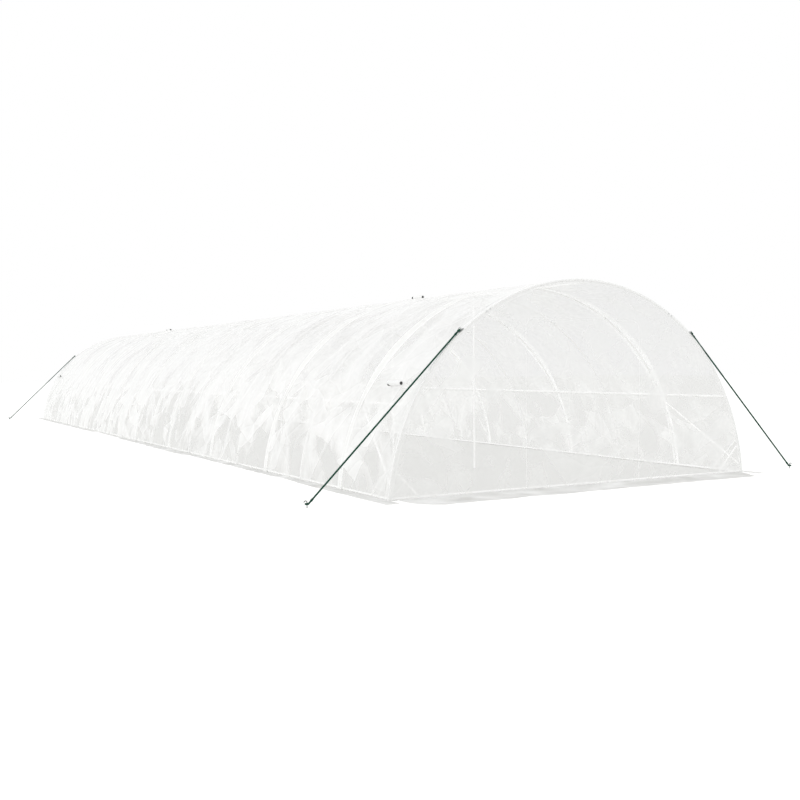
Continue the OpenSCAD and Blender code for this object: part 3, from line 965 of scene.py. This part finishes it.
# Guy ropes: green rope laid from three strands, about 20 mm thick, tied tight from each hook to its peg.
# Each end is spliced into a loop round its ring or peg, and a twine whipping covers the splice.
rope_dark = (0.003, 0.045, 0.027, 1)
rope_pale = (0.009, 0.080, 0.047, 1)
fibre_relief = 0.0006
rope_green = bpy.data.materials.new("green_laid_rope")
rope_green.use_nodes = True
fibres = rope_green.node_tree
rope_surface = fibres.nodes["Principled BSDF"]
fibre_place = add(fibres, "ShaderNodeTexCoord").outputs["Object"]
fibre = cloudy(fibres, fibre_place, 420.0, 4.0)
faded = cloudy(fibres, fibre_place, 6.0, 3.0)
fibre_mix = calc(fibres, "MULTIPLY_ADD", fibre, 0.7, calc(fibres, "MULTIPLY", faded, 0.3))
fibre_color = blend(fibres, fibre_mix, rope_dark, rope_pale)
fibre_height = calc(fibres, "MULTIPLY", fibre, fibre_relief)
fibre_bump = add(fibres, "ShaderNodeBump", {"Height": fibre_height, "Distance": 1.0})
fibres.links.new(fibre_color, rope_surface.inputs["Base Color"])
fibres.links.new(fibre_bump.outputs[0], rope_surface.inputs["Normal"])
rope_surface.inputs["Roughness"].default_value = 0.82
rope_surface.inputs["Specular IOR Level"].default_value = 0.2

rope_sizes = {"Strand Offset": 0.0049, "Strand Radius": 0.0053, "Lay": 0.060, "Step": 0.007, "Sides": 7,
              "Material": rope_green}
rope_tree, given = geometry_tree("laid_rope", rope_sizes)
rope_line = stepped_line(rope_tree, given["Geometry"], given["Step"])
run_length = add(rope_tree, "GeometryNodeSplineParameter").outputs["Length"]
lay_turn = calc(rope_tree, "DIVIDE", calc(rope_tree, "MULTIPLY", run_length, 2 * math.pi), given["Lay"])
rope_normal = add(rope_tree, "GeometryNodeInputNormal").outputs[0]
rope_along = add(rope_tree, "GeometryNodeInputTangent").outputs[0]
rope_side = add(rope_tree, "ShaderNodeVectorMath", {0: rope_along, 1: rope_normal},
                operation="CROSS_PRODUCT").outputs[0]
strands = []
for k in range(3):
    phase = calc(rope_tree, "ADD", lay_turn, k * 2 * math.pi / 3)
    out_n = calc(rope_tree, "MULTIPLY", calc(rope_tree, "COSINE", phase), given["Strand Offset"])
    out_s = calc(rope_tree, "MULTIPLY", calc(rope_tree, "SINE", phase), given["Strand Offset"])
    shifts = [add(rope_tree, "ShaderNodeVectorMath", {0: way, "Scale": out}, operation="SCALE").outputs[0]
              for way, out in ((rope_normal, out_n), (rope_side, out_s))]
    shift = add(rope_tree, "ShaderNodeVectorMath", dict(enumerate(shifts)), operation="ADD").outputs[0]
    strand = add(rope_tree, "GeometryNodeSetPosition", {"Geometry": rope_line, "Offset": shift}).outputs[0]
    strands.append(round_bar(rope_tree, strand, given["Sides"], given["Strand Radius"]))
rope_smooth = add(rope_tree, "GeometryNodeSetShadeSmooth", {0: joined(rope_tree, strands)}).outputs[0]
end_tree(rope_tree, rope_smooth, given["Material"])

whip_sizes = {"Turns": 9.0, "Radius": 0.0112, "Height": 0.025, "Twine Radius": 0.0014, "Steps": 14,
              "Sides": 6, "Material": rope_green}
whip_tree, given = geometry_tree("twine_whippings", whip_sizes)
coil = add(whip_tree, "GeometryNodeCurveSpiral",
           {"Resolution": given["Steps"], "Rotations": given["Turns"], "Start Radius": given["Radius"],
            "End Radius": given["Radius"], "Height": given["Height"]}).outputs[0]
twine = round_bar(whip_tree, coil, given["Sides"], given["Twine Radius"])
end_tree(whip_tree, at_points(whip_tree, given["Geometry"], twine), given["Material"])

rope_ring_loop = 0.0123
rope_peg_loop = 0.0143
loop_steps = 28
stretch_steps = 40
whip_from_ring = 0.030
whip_from_peg = 0.062
peg_x = 3.375
peg_tie_z = 0.036
hook_point = Vector((hook_r * math.cos(hook_a), 0, hook_z))
rope_low = Vector((peg_x - rope_peg_loop, 0, peg_tie_z))
rope_dir = (rope_low - hook_point).normalized()
ring_point = hook_point + rope_dir * ring_r
rope_high = ring_point + rope_dir * rope_ring_loop
rope_across = Vector((0, 1, 0))
for name, y in (("front", hoop_front_y), ("rear", hoop_rear_y)):
    points = []
    edges = []
    whip_points = []
    whip_turns = []
    for side in (1, -1):
        ring_turn = [ring_point + rope_ring_loop * (math.cos(a) * rope_dir + math.sin(a) * rope_across)
                     for a in np.linspace(0, 2 * math.pi, loop_steps, endpoint=False)]
        peg_turn = [Vector((peg_x - rope_peg_loop * math.cos(a), rope_peg_loop * math.sin(a), peg_tie_z))
                    for a in np.linspace(0, 2 * math.pi, loop_steps, endpoint=False)]
        stretch = [rope_high.lerp(rope_low, t) for t in np.linspace(0, 1, stretch_steps)]
        for line, closed in ((ring_turn, True), (peg_turn, True), (stretch, False)):
            first = len(points)
            points += [(side * p.x, y + p.y, p.z) for p in line]
            edges += [(first + k, first + k + 1) for k in range(len(line) - 1)]
            if closed:
                edges.append((first + len(line) - 1, first))
        for p in (rope_high + rope_dir * whip_from_ring, rope_low - rope_dir * whip_from_peg):
            whip_points.append((side * p.x, y, p.z))
            whip_turns.append((0, math.atan2(side * rope_dir.x, rope_dir.z), 0))
    rope = piece_of(name + "_laid_ropes", points, edges)
    run_tree(rope, rope_tree, rope_sizes)
    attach(rope, "root")
    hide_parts(name + "_guy_ropes")
    whips = piece_of(name + "_rope_whippings", whip_points)
    turn = whips.data.attributes.new("turn", "FLOAT_VECTOR", "POINT")
    for k, value in enumerate(whip_turns):
        turn.data[k].vector = value
    run_tree(whips, whip_tree, whip_sizes)
    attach(whips, "root")
